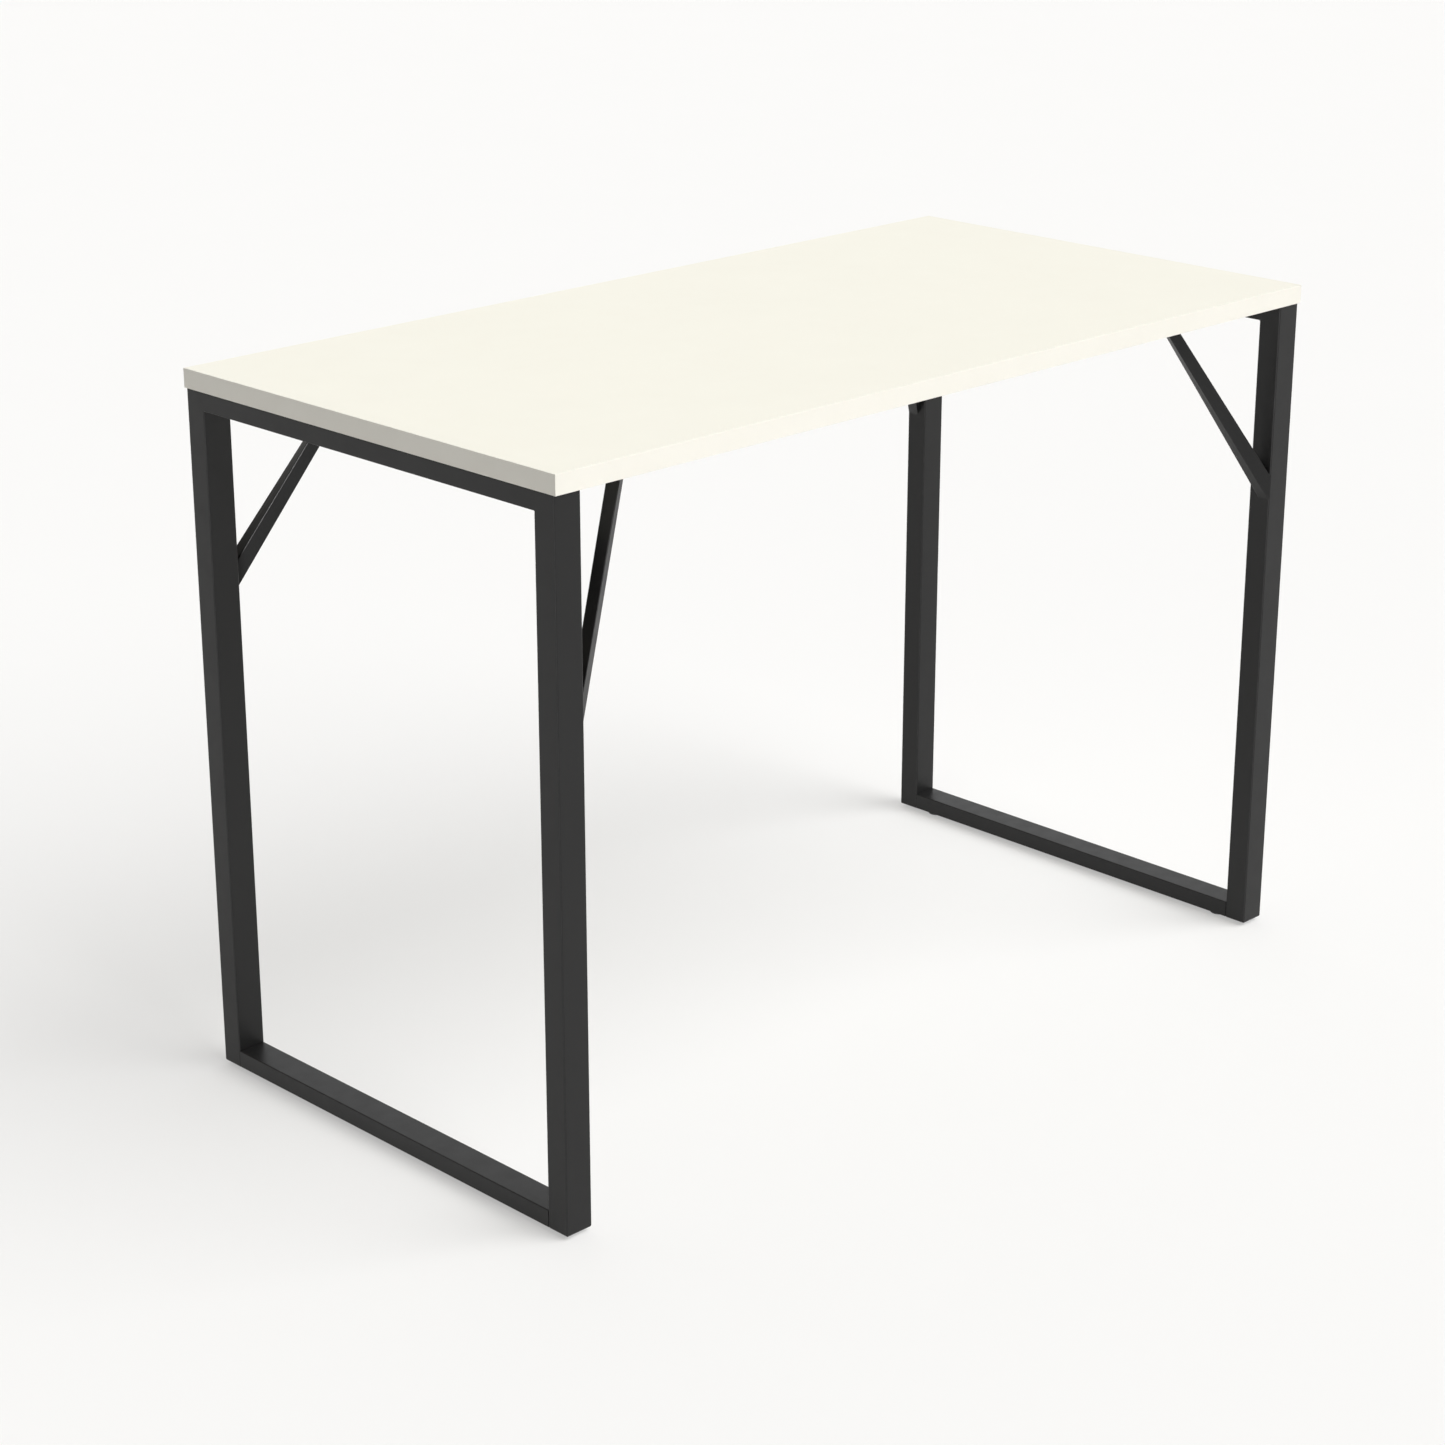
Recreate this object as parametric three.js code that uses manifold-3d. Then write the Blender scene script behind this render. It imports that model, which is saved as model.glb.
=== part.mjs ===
// A rectangular desk: an edge-banded board on two closed steel end frames, with four
// tapered diagonal braces and four screw-in levelling glides. Millimetres, +Z up.
// The origin is on the floor under the middle of the top, with +X along its length
// and -Y towards the person who sits at it. The glides are drawn fully screwed in.

import * as THREE from 'three';
import { ConvexGeometry } from 'three/addons/geometries/ConvexGeometry.js';
import { mergeVertices } from 'three/addons/utils/BufferGeometryUtils.js';
import Module from 'manifold-3d';

const wasm = await Module();
wasm.setup();

// Desk
const TOP_LENGTH = 1100;
const TOP_DEPTH = 550;
const TOP_THICKNESS = 20;
const DESK_HEIGHT = 759;
const BAND_THICKNESS = 1;
const GAP = 0.3; // clearance between pieces that touch

// End frames, from rectangular steel tube
const TUBE_WIDTH = 32; // of every frame tube, along X
const LEG_DEPTH = 27; // of a leg, along Y
const RAIL_HEIGHT = 19;
const TUBE_WALL = 1.5;
const TUBE_CORNER = 2; // outer corner radius
const FRAME_INSET_X = 0.5; // frame's outer face behind the end of the top
const FRAME_INSET_Y = 3; // legs behind the front and rear edges of the top
const LEG_CLEARANCE = 4; // leg ends above the floor
const RAIL_LIFT = 0.4; // bottom rail above the leg ends

// Braces: a tall rectangle against the leg narrows to a turned square under the top
const BRACE_FOOT = { width: 15, height: 28.6, bottom: 520.4, inset: 0.9 };
const BRACE_HEAD = { length: 14.5, width: 13.5, fromEnd: 149.5, fromEdge: 78, turn: 58 };
const BRACE_WALL = 1.5;

// Fixings
const PLATE = { length: 44, width: 22, thickness: 2.5, screwSpacing: 30 };
const RAIL_SCREW = { radius: 2.3, head: 4.8, headHeight: 2.8, length: 34 };
const PLATE_SCREW = { radius: 1.8, head: 3.8, headHeight: 2.2, length: 14 };
const RAIL_SCREW_SPACING = 180;

// Leg caps and levelling glides
const CAP_HEIGHT = 12;
const CAP_WALL = 2;
const GLIDE_RADIUS = 10.5;
const GLIDE_HEIGHT = 3;
const GLIDE_FROM_LEG = 21; // glide centre to the leg's inner face
const STUD_RADIUS = 3;
const STUD_LENGTH = 16;
const STUD_SOCKET = 1.5; // how deep the stud is moulded into the foot
const INSERT = { flange: 6.5, flangeHeight: 0.8, body: 4.4, length: 10.5 };

// Derived places
const UNDERSIDE = DESK_HEIGHT - TOP_THICKNESS;
const HALF_LENGTH = TOP_LENGTH / 2;
const HALF_DEPTH = TOP_DEPTH / 2;
const LEG_TOP = UNDERSIDE - GAP;
const LEG_OUTER_Y = HALF_DEPTH - FRAME_INSET_Y;
const LEG_Y = LEG_OUTER_Y - LEG_DEPTH / 2;
const FRAME_INNER_X = HALF_LENGTH - FRAME_INSET_X - TUBE_WIDTH;
const FRAME_X = FRAME_INNER_X + TUBE_WIDTH / 2;
const RAIL_LENGTH = 2 * (LEG_OUTER_Y - LEG_DEPTH - GAP);
const TOP_RAIL_BOTTOM = LEG_TOP - RAIL_HEIGHT;
const BOTTOM_RAIL_BOTTOM = LEG_CLEARANCE + RAIL_LIFT;
const GLIDE_Y = LEG_OUTER_Y - LEG_DEPTH - GLIDE_FROM_LEG;
const PLATE_BOTTOM = UNDERSIDE - GAP - PLATE.thickness;
const BRACE_TOP = PLATE_BOTTOM - GAP;

const SIDES = [['left', -1], ['right', 1]];
const ENDS = [['front', -1], ['rear', 1]];
const ROUND_STEPS = 20;
const HOLE_STEPS = 16;

const material = (color, roughness, metalness = 0) =>
  new THREE.MeshStandardMaterial({ color, roughness, metalness });
const laminate = material(0xfaf8ec, 0.45);
const banding = material(0xf8f5ea, 0.4);
const powderCoat = material(0x2c2c2c, 0.55);
const blackPlastic = material(0x1d1d1d, 0.6);
const zincPlate = material(0xa4a7ab, 0.35, 0.9);

const desk = new THREE.Group();

function addPart(parent, name, geometry, finish, x = 0, y = 0, z = 0) {
  const mesh = new THREE.Mesh(geometry, finish);
  mesh.name = name;
  mesh.position.set(x, y, z);
  parent.add(mesh);
}

// ---- Solids and cuts ----

function toSolid(geometry) {
  const bare = geometry.clone();
  bare.deleteAttribute('normal');
  bare.deleteAttribute('uv');
  const merged = mergeVertices(bare, 1e-4);
  const mesh = new wasm.Mesh({
    numProp: 3,
    vertProperties: merged.attributes.position.array,
    triVerts: new Uint32Array(merged.index.array),
  });
  return new wasm.Manifold(mesh);
}

function toGeometry(solid) {
  const mesh = solid.getMesh();
  const geometry = new THREE.BufferGeometry();
  geometry.setAttribute('position', new THREE.BufferAttribute(mesh.vertProperties, 3));
  geometry.setIndex(new THREE.BufferAttribute(mesh.triVerts, 1));
  geometry.computeVertexNormals();
  return geometry;
}

function cut(geometry, tools) {
  let solid = toSolid(geometry);
  for (const tool of tools) solid = solid.subtract(toSolid(tool));
  return toGeometry(solid);
}

// ---- Shared shapes ----

function roundedRectangle(path, width, height, radius) {
  const x = width / 2 - radius;
  const y = height / 2 - radius;
  path.absarc(x, -y, radius, -Math.PI / 2, 0);
  path.absarc(x, y, radius, 0, Math.PI / 2);
  path.absarc(-x, y, radius, Math.PI / 2, Math.PI);
  path.absarc(-x, -y, radius, Math.PI, 1.5 * Math.PI);
  path.closePath();
  return path;
}

// An open-ended rectangular tube that stands on z = 0.
function tube(width, height, length) {
  const outline = roundedRectangle(new THREE.Shape(), width, height, TUBE_CORNER);
  const bore = roundedRectangle(
    new THREE.Path(), width - 2 * TUBE_WALL, height - 2 * TUBE_WALL, TUBE_CORNER - TUBE_WALL);
  outline.holes.push(bore);
  return new THREE.ExtrudeGeometry(outline, { depth: length, bevelEnabled: false, curveSegments: 3 });
}

// A vertical round cutter, from z = low to z = high.
function roundCutter(radius, x, y, low, high) {
  const cutter = new THREE.CylinderGeometry(radius, radius, high - low, HOLE_STEPS);
  cutter.rotateX(Math.PI / 2);
  cutter.translate(x, y, (low + high) / 2);
  return cutter;
}

// A body turned about Z from [radius, height] points.
function turned(points, steps = ROUND_STEPS) {
  const profile = points.map(([radius, height]) => new THREE.Vector2(radius, height));
  const geometry = new THREE.LatheGeometry(profile, steps);
  geometry.rotateX(Math.PI / 2);
  return geometry;
}

// A pan-head screw that points up, its head's seat at z = 0.
function screw({ radius, head, headHeight, length }) {
  const tip = 1.6 * radius;
  return turned([
    [0, -headHeight], [0.55 * head, -headHeight], [0.9 * head, -0.6 * headHeight], [head, 0],
    [radius, 0], [radius, length - tip], [0, length],
  ], HOLE_STEPS);
}

// ---- Places of the fixings ----

// The middle of a brace's head and the two screws beside it.
function braceHead(sideX, sideY) {
  const centre = new THREE.Vector2(
    sideX * (HALF_LENGTH - BRACE_HEAD.fromEnd), sideY * (HALF_DEPTH - BRACE_HEAD.fromEdge));
  const turn = THREE.MathUtils.degToRad(BRACE_HEAD.turn);
  const along = new THREE.Vector2(-sideX * Math.sin(turn), -sideY * Math.cos(turn));
  const across = new THREE.Vector2(-along.y, along.x);
  const screws = [-1, 1].map((end) =>
    centre.clone().addScaledVector(across, end * PLATE.screwSpacing / 2));
  return { centre, along, across, screws };
}

const railScrewPlaces = [-1, 0, 1].map((step) => step * RAIL_SCREW_SPACING);

// ---- Desktop ----

function addDesktop() {
  const pilotHoles = [];
  const addPilot = (type, x, y, depth) =>
    pilotHoles.push(roundCutter(type.radius + GAP, x, y, UNDERSIDE - 1, UNDERSIDE + depth));
  for (const [, sideX] of SIDES) {
    for (const y of railScrewPlaces) {
      addPilot(RAIL_SCREW, sideX * FRAME_X, y, RAIL_SCREW.length - RAIL_HEIGHT);
    }
    for (const [, sideY] of ENDS) {
      for (const place of braceHead(sideX, sideY).screws) {
        addPilot(PLATE_SCREW, place.x, place.y, PLATE_SCREW.length - PLATE.thickness);
      }
    }
  }
  const border = 2 * (BAND_THICKNESS + GAP);
  const board = new THREE.BoxGeometry(TOP_LENGTH - border, TOP_DEPTH - border, TOP_THICKNESS);
  board.translate(0, 0, UNDERSIDE + TOP_THICKNESS / 2);
  addPart(desk, 'desktop_panel', cut(board, pilotHoles), laminate);

  const middle = UNDERSIDE + TOP_THICKNESS / 2;
  const longBand = new THREE.BoxGeometry(TOP_LENGTH, BAND_THICKNESS, TOP_THICKNESS);
  const shortBand = new THREE.BoxGeometry(BAND_THICKNESS, TOP_DEPTH - border, TOP_THICKNESS);
  for (const [end, sideY] of ENDS) {
    const y = sideY * (HALF_DEPTH - BAND_THICKNESS / 2);
    addPart(desk, `edge_band_${end}`, longBand, banding, 0, y, middle);
  }
  for (const [side, sideX] of SIDES) {
    const x = sideX * (HALF_LENGTH - BAND_THICKNESS / 2);
    addPart(desk, `edge_band_${side}`, shortBand, banding, x, 0, middle);
  }
}

// ---- End frames ----

// A rail lies along Y with its underside on z = 0.
function rail() {
  const geometry = tube(TUBE_WIDTH, RAIL_HEIGHT, RAIL_LENGTH);
  geometry.rotateX(Math.PI / 2);
  geometry.translate(0, RAIL_LENGTH / 2, RAIL_HEIGHT / 2);
  return geometry;
}

// A cup that closes the lower end of a leg, open at its top.
function legCap() {
  const width = TUBE_WIDTH - 2 * (TUBE_WALL + GAP);
  const depth = LEG_DEPTH - 2 * (TUBE_WALL + GAP);
  const cup = new THREE.BoxGeometry(width, depth, CAP_HEIGHT);
  cup.translate(0, 0, CAP_HEIGHT / 2);
  const hollow = new THREE.BoxGeometry(width - 2 * CAP_WALL, depth - 2 * CAP_WALL, CAP_HEIGHT);
  hollow.translate(0, 0, CAP_HEIGHT / 2 + CAP_WALL);
  return cut(cup, [hollow]);
}

function addEndFrame(side, sideX) {
  const frame = new THREE.Group();
  frame.position.x = sideX * FRAME_X;
  desk.add(frame);

  const leg = tube(TUBE_WIDTH, LEG_DEPTH, LEG_TOP - LEG_CLEARANCE);
  const cap = legCap();
  for (const [end, sideY] of ENDS) {
    addPart(frame, `leg_${end}_${side}`, leg, powderCoat, 0, sideY * LEG_Y, LEG_CLEARANCE);
    addPart(frame, `leg_cap_${end}_${side}`, cap, blackPlastic, 0, sideY * LEG_Y, LEG_CLEARANCE);
  }

  const screwHoles = railScrewPlaces.map((y) =>
    roundCutter(RAIL_SCREW.radius + GAP, 0, y, -1, RAIL_HEIGHT + 1));
  addPart(frame, `top_rail_${side}`, cut(rail(), screwHoles), powderCoat, 0, 0, TOP_RAIL_BOTTOM);
  const insertHoles = [-1, 1].map((sideY) =>
    roundCutter(INSERT.body + GAP, 0, sideY * GLIDE_Y, -1, RAIL_HEIGHT / 2));
  addPart(
    frame, `bottom_rail_${side}`, cut(rail(), insertHoles), powderCoat, 0, 0, BOTTOM_RAIL_BOTTOM);

  railScrewPlaces.forEach((y, index) => {
    addPart(
      frame, `rail_screw_${side}_${index + 1}`, screw(RAIL_SCREW), zincPlate,
      0, y, TOP_RAIL_BOTTOM - GAP);
  });
}

// ---- Levelling glides ----

// A threaded insert hangs by its flange under the bottom rail; its seat is at z = 0.
function threadedInsert() {
  const bore = STUD_RADIUS + GAP;
  return turned([
    [bore, -INSERT.flangeHeight], [INSERT.flange, -INSERT.flangeHeight], [INSERT.flange, 0],
    [INSERT.body, 0], [INSERT.body, INSERT.length], [bore, INSERT.length],
    [bore, -INSERT.flangeHeight],
  ]);
}

// The plastic foot, with the socket that its stud is moulded into.
function glideFoot() {
  const socket = STUD_RADIUS + GAP;
  const socketFloor = GLIDE_HEIGHT - STUD_SOCKET - GAP;
  return turned([
    [0, 0], [GLIDE_RADIUS - 1, 0], [GLIDE_RADIUS, 1], [GLIDE_RADIUS, GLIDE_HEIGHT - 1],
    [GLIDE_RADIUS - 1, GLIDE_HEIGHT], [socket, GLIDE_HEIGHT], [socket, socketFloor],
    [0, socketFloor],
  ], 2 * ROUND_STEPS);
}

function glideStud() {
  const chamfer = 0.7;
  return turned([
    [0, 0], [STUD_RADIUS, 0], [STUD_RADIUS, STUD_LENGTH - chamfer],
    [STUD_RADIUS - chamfer, STUD_LENGTH], [0, STUD_LENGTH],
  ]);
}

function addGlide(end, side, sideX, sideY) {
  const x = sideX * FRAME_X;
  const y = sideY * GLIDE_Y;
  const insertSeat = BOTTOM_RAIL_BOTTOM - GAP;
  const studFoot = GLIDE_HEIGHT - STUD_SOCKET;
  addPart(desk, `threaded_insert_${end}_${side}`, threadedInsert(), zincPlate, x, y, insertSeat);
  addPart(desk, `glide_foot_${end}_${side}`, glideFoot(), blackPlastic, x, y, 0);
  addPart(desk, `glide_stud_${end}_${side}`, glideStud(), zincPlate, x, y, studFoot);
}

// ---- Braces ----

// The four edges of a brace, each from the leg's inner face to the underside of the top.
// The margin moves them inwards, which gives the brace's hollow.
function braceEdges(sideX, sideY, margin) {
  const { centre, along, across } = braceHead(sideX, sideY);
  const footX = sideX * (FRAME_INNER_X - GAP);
  const footY = LEG_OUTER_Y - BRACE_FOOT.inset - BRACE_FOOT.width / 2;
  const footZ = BRACE_FOOT.bottom + BRACE_FOOT.height / 2;
  const edges = [];
  for (const upper of [-1, 1]) {
    for (const inner of [-1, 1]) {
      const foot = new THREE.Vector3(
        footX,
        sideY * (footY - inner * (BRACE_FOOT.width / 2 - margin)),
        footZ + upper * (BRACE_FOOT.height / 2 - margin));
      const head = centre.clone()
        .addScaledVector(along, -upper * (BRACE_HEAD.length / 2 - margin))
        .addScaledVector(across, inner * sideX * sideY * (BRACE_HEAD.width / 2 - margin));
      edges.push(new THREE.Line3(foot, new THREE.Vector3(head.x, head.y, UNDERSIDE)));
    }
  }
  return edges;
}

// The body between the edges, from a share of their length before the foot to a height.
function braceBody(edges, start, height) {
  const points = [];
  for (const edge of edges) {
    const rise = edge.end.z - edge.start.z;
    points.push(edge.at(start, new THREE.Vector3()));
    points.push(edge.at((height - edge.start.z) / rise, new THREE.Vector3()));
  }
  return new ConvexGeometry(points);
}

function addBrace(end, side, sideX, sideY) {
  const body = braceBody(braceEdges(sideX, sideY, 0), 0, BRACE_TOP);
  const hollow = braceBody(braceEdges(sideX, sideY, BRACE_WALL), -0.1, UNDERSIDE + 1);
  addPart(desk, `brace_${end}_${side}`, cut(body, [hollow]), powderCoat);
}

// The plate between a brace's head and the top, with its two screws.
function addBracePlate(end, side, sideX, sideY) {
  const { centre, across, screws } = braceHead(sideX, sideY);
  const outline = roundedRectangle(new THREE.Shape(), PLATE.length, PLATE.width, 4);
  const plate = new THREE.ExtrudeGeometry(
    outline, { depth: PLATE.thickness, bevelEnabled: false, curveSegments: 4 });
  const screwHoles = [-1, 1].map((place) => roundCutter(
    PLATE_SCREW.radius + GAP, place * PLATE.screwSpacing / 2, 0, -1, PLATE.thickness + 1));
  const geometry = cut(plate, screwHoles);
  geometry.rotateZ(Math.atan2(across.y, across.x));
  addPart(
    desk, `brace_plate_${end}_${side}`, geometry, powderCoat, centre.x, centre.y, PLATE_BOTTOM);
  screws.forEach((place, index) => {
    addPart(
      desk, `plate_screw_${end}_${side}_${index + 1}`, screw(PLATE_SCREW), zincPlate,
      place.x, place.y, PLATE_BOTTOM - GAP);
  });
}

// ---- Assembly ----

addDesktop();
for (const [side, sideX] of SIDES) {
  addEndFrame(side, sideX);
  for (const [end, sideY] of ENDS) {
    addGlide(end, side, sideX, sideY);
    addBrace(end, side, sideX, sideY);
    addBracePlate(end, side, sideX, sideY);
  }
}

export default desk;
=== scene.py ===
"""A desk with two steel end frames: the visual model, built round its CAD frame.

Metres, +Z up. The origin is on the floor under the middle of the top, +X runs along the
top, and -Y is the side that the user sits at. Every piece rides on one of the CAD's bodies:
the desk itself, or one of its four screw-in levelling glides.
"""

import math
from collections import namedtuple

import bmesh
import bpy
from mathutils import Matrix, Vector


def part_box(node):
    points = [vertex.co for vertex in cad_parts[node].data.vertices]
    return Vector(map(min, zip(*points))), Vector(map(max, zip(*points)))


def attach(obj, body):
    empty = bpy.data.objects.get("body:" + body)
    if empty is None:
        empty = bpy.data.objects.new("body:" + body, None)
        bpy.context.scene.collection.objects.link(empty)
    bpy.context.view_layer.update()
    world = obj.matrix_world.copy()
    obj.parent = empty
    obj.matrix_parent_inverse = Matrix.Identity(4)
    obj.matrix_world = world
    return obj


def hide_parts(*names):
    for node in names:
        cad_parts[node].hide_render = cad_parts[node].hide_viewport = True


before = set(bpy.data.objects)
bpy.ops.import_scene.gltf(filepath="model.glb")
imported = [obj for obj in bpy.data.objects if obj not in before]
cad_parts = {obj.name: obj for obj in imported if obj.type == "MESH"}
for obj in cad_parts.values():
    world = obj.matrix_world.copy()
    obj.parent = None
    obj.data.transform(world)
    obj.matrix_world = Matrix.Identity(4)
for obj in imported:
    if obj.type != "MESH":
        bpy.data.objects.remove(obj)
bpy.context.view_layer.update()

MM = 0.001
SIDES = (("left", -1), ("right", 1))
ENDS = (("front", -1), ("rear", 1))

# Corners and round shapes: a turned one closes at a tiny flat on its axis
CORNER_STEPS = 6
LEAST_CORNER = 0.3 * MM
AXIS_FLAT = 0.02 * MM

# Board: its edges are eased, and its joints with the edge bands are fine grooves
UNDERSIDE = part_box("desktop_panel")[0].z
EDGE_ROUND = 0.3 * MM
JOINT_CHAMFER = 0.1 * MM
PANEL_CORNER = 0.05 * MM

# End frames
TUBE_WALL = 1.5 * MM
LEG_CORNER, RAIL_CORNER = 1.6 * MM, 1.0 * MM
RAIL_END_CHAMFER = 0.25 * MM
LEG_END_INSET, LEG_END_ROUND = 1.3 * MM, 2.4 * MM
CAP_WALL, CAP_CORNER, CAP_ROUND = 2.0 * MM, 0.8 * MM, 0.5 * MM
CAP_STEPS = 3

# Bead under a top rail. Its ends taper by (share of the taper's length, share of the bead's size)
CORNER_WELD = 2.2 * MM
CORNER_WELD_INSET = 0.6 * LEG_CORNER
WELD_TAPER_LENGTH = 1.0 * MM
WELD_TAPER = ((0.0, 0.55), (0.4, 0.85), (1.0, 1.0))

# Braces: a tall rectangle on the leg narrows to a turned, nearly square section under the top
FOOT_WIDTH, FOOT_HEIGHT = 15.0 * MM, 28.6 * MM
FOOT_BOTTOM = 520.4 * MM
FOOT_INSET = 0.9 * MM
FOOT_GAP = 0.3 * MM
FOOT_BURIED = 1.0 * MM
HEAD_LENGTH, HEAD_WIDTH = 14.5 * MM, 13.5 * MM
HEAD_FROM_END, HEAD_FROM_EDGE = 149.5 * MM, 78.0 * MM
HEAD_TURN = math.radians(58)
BRACE_CORNER = 1.6 * MM
BRACE_WALL = 1.5 * MM
BRACE_STATIONS = 12

# Beads round a brace's ends, with ripples as (share of the bead's size, points to a wave)
FOOT_WELD, HEAD_WELD = 0.7 * MM, 1.0 * MM
BEAD_POINTS, BEAD_STEPS = 84, 4
BEAD_RIPPLES = ((0.06, 2.6), (0.05, 17))

# Plates on the braces' heads
PLATE_LENGTH, PLATE_WIDTH, PLATE_CORNER = 44.0 * MM, 22.0 * MM, 4.0 * MM
PLATE_ROUND = 0.4 * MM
PLATE_HOLE_RADIUS = 2.1 * MM
HOLE_STEPS = 24

# Pan-head wood screws
Screw = namedtuple("Screw", "shank_radius head_height")
RAIL_SCREW = Screw(2.3 * MM, 2.8 * MM)
PLATE_SCREW = Screw(1.8 * MM, 2.2 * MM)
RAIL_HOLE_RADIUS = 2.6 * MM
SCREW_STEPS = 32
SCREW_RIM, SCREW_BEARING_INSET = 0.12 * MM, 0.1 * MM
SCREW_TIP_LENGTH, SCREW_TIP_RADIUS = 3.0 * MM, 0.15 * MM
SCREW_FIRST_TURN, SCREW_NEXT_TURN = math.radians(17), math.radians(37)

# A pan head's section is an arc that these powers make squarer: (steps, start, end), (side, crown)
PAN_ARC = (7, math.radians(8), math.radians(84))
PAN_SIDE, PAN_CROWN = 0.8, 0.75

# A cross recess's arms as (half length, half width), in shares of the head's radius
RECESS_MOUTH, RECESS_FLOOR = (0.60, 0.13), (0.22, 0.07)
RECESS_FLOOR_HEIGHT = 0.25
RECESS_CLEARANCE = 0.5 * MM

# Levelling glides and their inserts: a sole's shares are of the foot's radius
INSERT_BODY_RADIUS, INSERT_BORE_RADIUS = 4.4 * MM, 3.3 * MM
INSERT_HOLE_RADIUS, INSERT_HOLE_HEIGHT = 4.7 * MM, 9 * MM
INSERT_ROUND, INSERT_LEAD_IN = 0.2 * MM, 0.3 * MM
INSERT_STEPS = 40
GLIDE_ROUND = 0.9 * MM
GLIDE_STEPS, GLIDE_ROUND_STEPS = 56, 5
GLIDE_SOCKET_RADIUS = 3.02 * MM
SOLE_HOLLOW = 0.25 * MM
SOLE_HOLLOW_SHARE, SOLE_FLAT_SHARE = 0.45, 0.55

# Studs' threads: the crest's half width is in pitches, and each turn has this many rows of points
THREAD_PITCH, THREAD_DEPTH = 1.0 * MM, 0.55 * MM
THREAD_CREST = 0.1
THREAD_STEPS, THREAD_ROWS = 28, 8
STUD_TIP_LENGTH, STUD_TIP_INSET = 0.8 * MM, 0.7 * MM

# Studio: the suns' spreads, azimuths and elevations are in degrees
FLOOR_RADIUS = 24.0
FLOOR_STEPS, DOME_STEPS = 96, 24
DOME_TOP = math.radians(89.5)
FLOOR_GLOW, BACKDROP_GLOW = 0.43, 0.985
KEY_POWER, KEY_SPREAD = 2.93, 52
KEY_AZIMUTH, KEY_ELEVATION = 26, 48
RIM_POWER, RIM_SPREAD = 6.0, 30
RIM_TOWARDS = Vector((-0.84, -0.41, 0.31))
SKY_TOWARDS = Vector((0.9, 0.38, 0.2))
SKY_RANGE = {"From Min": -0.6, "From Max": 0.9, "To Min": 0.02, "To Max": 0.96}
SKY_DIM, SKY_BRIGHT = (1.0, 0.90, 0.76, 1), (0.98, 0.99, 1.0, 1)

# Camera: on the photo's side, pitched down, with no shift
CAMERA_LENS = 80.5
CAMERA_AZIMUTH, CAMERA_ELEVATION, CAMERA_DISTANCE = -44.64, 19.99, 3.501
CAMERA_TARGET = Vector((-0.051, 0.022, 0.324))


# ---- Shapes as rings of points ----

def arc(steps, start=0.0, end=math.pi / 2):
    """Angles from start to end."""
    return [start + (end - start) * i / steps for i in range(steps + 1)]


def ring(width, height, radius, steps=CORNER_STEPS):
    """A rounded rectangle round the origin as (u, v, edge), where edge is 1 in mid-corner."""
    points = []
    for quarter, (sign_u, sign_v) in enumerate(((1, 1), (-1, 1), (-1, -1), (1, -1))):
        for step in range(steps + 1):
            angle = math.pi / 2 * (quarter + step / steps)
            points.append((
                sign_u * (width / 2 - radius) + radius * math.cos(angle),
                sign_v * (height / 2 - radius) + radius * math.sin(angle),
                math.sin(math.pi * step / steps),
            ))
    return points


def inset_ring(width, height, radius, inset):
    return ring(width - 2 * inset, height - 2 * inset, max(radius - inset, LEAST_CORNER))


def circle(radius, height, steps):
    """A level circle round the Z axis, as points."""
    turn = 2 * math.pi / steps
    return [
        Vector((radius * math.cos(i * turn), radius * math.sin(i * turn), height))
        for i in range(steps)
    ]


def skin(loops, endless=False, weights=None):
    """A closed shell through loops of equal counts, as points, faces and the points' edge wear.

    An endless shell joins its last loop to its first, and any other has a face at each end.
    """
    count, rows = len(loops[0]), len(loops)
    points = [point for loop in loops for point in loop]
    faces = []
    for row in range(rows if endless else rows - 1):
        here, there = row * count, (row + 1) % rows * count
        for i in range(count):
            j = (i + 1) % count
            faces.append((here + i, here + j, there + j, there + i))
    if not endless:
        faces.append(tuple(range(count))[::-1])
        faces.append(tuple(range((rows - 1) * count, rows * count)))
    return points, faces, weights or [0.0] * len(points)


def turned(profile, axis, steps, endless=False):
    """A shell turned round an upright axis, from (radius, height)."""
    loops = [[axis + point for point in circle(radius, z, steps)] for radius, z in profile]
    return skin(loops, endless)


def axis_of(node):
    """The upright axis of a round CAD node, as a point at floor height."""
    low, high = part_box(node)
    return Vector(((low.x + high.x) / 2, (low.y + high.y) / 2, 0))


# ---- Pieces ----

def closed_mesh(name, points, faces):
    """A mesh whose faces all look outwards."""
    mesh = bpy.data.meshes.new(name)
    mesh.from_pydata([tuple(point) for point in points], [], faces)
    solid = bmesh.new()
    solid.from_mesh(mesh)
    bmesh.ops.recalc_face_normals(solid, faces=solid.faces)
    solid.to_mesh(mesh)
    solid.free()
    return mesh


def add_object(name, data):
    thing = bpy.data.objects.new(name, data)
    bpy.context.scene.collection.objects.link(thing)
    return thing


def make_piece(name, shells, material, replaces=(), body="desk", sharp=40, holes=()):
    """One object from closed shells, less its holes, riding on a body.

    It is shaded smooth, but for edges that turn by more than sharp, in degrees.
    """
    points, faces, weights = [], [], []
    for shell_points, shell_faces, shell_weights in shells:
        offset = len(points)
        points += shell_points
        faces += [tuple(index + offset for index in face) for face in shell_faces]
        weights += shell_weights
    mesh = closed_mesh(name, points, faces)
    mesh.attributes.new("edge", "FLOAT", "POINT").data.foreach_set("value", weights)
    piece = add_object(name, mesh)
    for hole in holes:
        cut(piece, hole)
    piece.data.materials.append(material)
    piece.data.shade_smooth()
    piece.data.set_sharp_from_angle(angle=math.radians(sharp))
    piece.modifiers.new("weighted_normals", "WEIGHTED_NORMAL").keep_sharp = True
    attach(piece, body)
    if replaces:
        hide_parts(*replaces)
    return piece


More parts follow.
